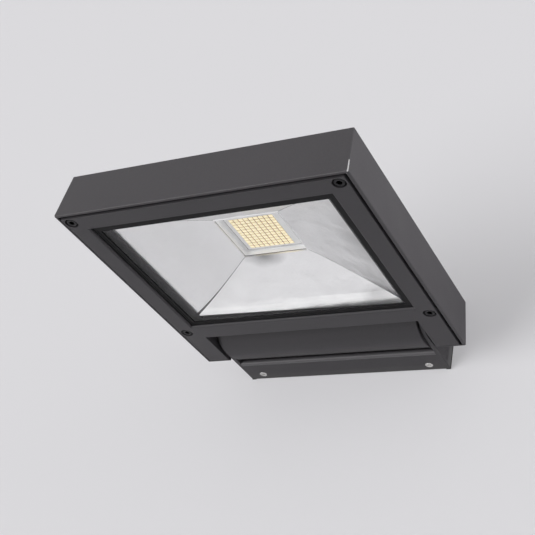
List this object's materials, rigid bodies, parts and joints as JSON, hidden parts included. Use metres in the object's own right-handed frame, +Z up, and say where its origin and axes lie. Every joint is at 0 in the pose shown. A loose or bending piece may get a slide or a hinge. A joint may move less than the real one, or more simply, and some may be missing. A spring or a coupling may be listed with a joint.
{
  "type": "wall floodlight",
  "caption": "Wall floodlight with a shallow square head, recessed glass frame and bright reflector, tilting on a wide barrel hinge between the cheeks of a wall box.",
  "frame": {"origin": "middle of the wall plate's two bolt holes, on the wall, at the height of the hinge axis", "axes": "+Y into the wall, -Y along the head as it points away from the wall, +Z up, +X to the right-hand end of the hinge for someone who faces the wall; the glass faces -Z at rest"},
  "size_m": [0.25, 0.28, 0.072],
  "materials": {
    "anthracite_paint": "fine textured powder coat on cast aluminium",
    "frame_paint": "fine textured powder coat on cast aluminium",
    "dark_anodised": "dark anodised extrusion",
    "dark_screw": "dark stainless steel",
    "stainless": "plain stainless steel",
    "zinc_steel": "zinc-plated sheet steel",
    "bright_aluminium": "satin bright anodised sheet",
    "black_rubber": "matt silicone rubber",
    "glass": "clear toughened glass with a black printed border",
    "white_board": "white solder mask on an aluminium core",
    "yellow_chips": "yellow phosphor behind clear silicone",
    "grey_pad": "soft heat-conducting sheet",
    "red_wire": "silicone insulation",
    "brown_wire": "silicone insulation",
    "white_plastic": "moulded",
    "black_plastic": "moulded",
    "brass": "turned",
    "bush_plastic": "turned acetal"
  },
  "bodies": {
    "bracket": {"wall_plate": "zinc_steel", "wall_box": "anthracite_paint", "box_screws": "stainless", "wall_seal": "black_rubber", "wall_grommet": "black_rubber", "earth_screw": "brass", "pivot_bushes": "bush_plastic"},
    "head": {"lamp_housing": "anthracite_paint", "front_frame": "frame_paint", "frame_screws": "dark_screw", "frame_gasket": "black_rubber", "glass_pane": "glass", "glass_gasket": "black_rubber", "glass_clips": "zinc_steel", "clip_screws": "stainless", "reflector": "bright_aluminium", "led_board": "white_board", "led_chips": "yellow_chips", "thermal_pad": "grey_pad", "board_screws": "stainless", "heat_sink": "dark_anodised", "sink_screws": "stainless", "led_leads": "red_wire", "lead_seal": "black_rubber", "driver_cover": "anthracite_paint", "cover_seal": "black_rubber", "cover_screws": "stainless", "pivot_bolts": "stainless", "spring_washers": "stainless", "driver_tray": "zinc_steel", "tray_screws": "stainless", "driver": "white_plastic", "driver_screws": "stainless", "terminal_block": "white_plastic", "terminal_screw": "stainless", "supply_leads": "brown_wire", "cord_clamp": "black_plastic", "clamp_screws": "stainless", "cable_grommet": "black_rubber", "breather_vent": "black_plastic"}
  },
  "joints": [
    {"name": "head_tilt", "type": "hinge", "parent": "bracket", "child": "head", "pos_m": [0, -0.053, 0], "axis": [-1, 0, 0], "range_deg": [0, 90]}
  ]
}
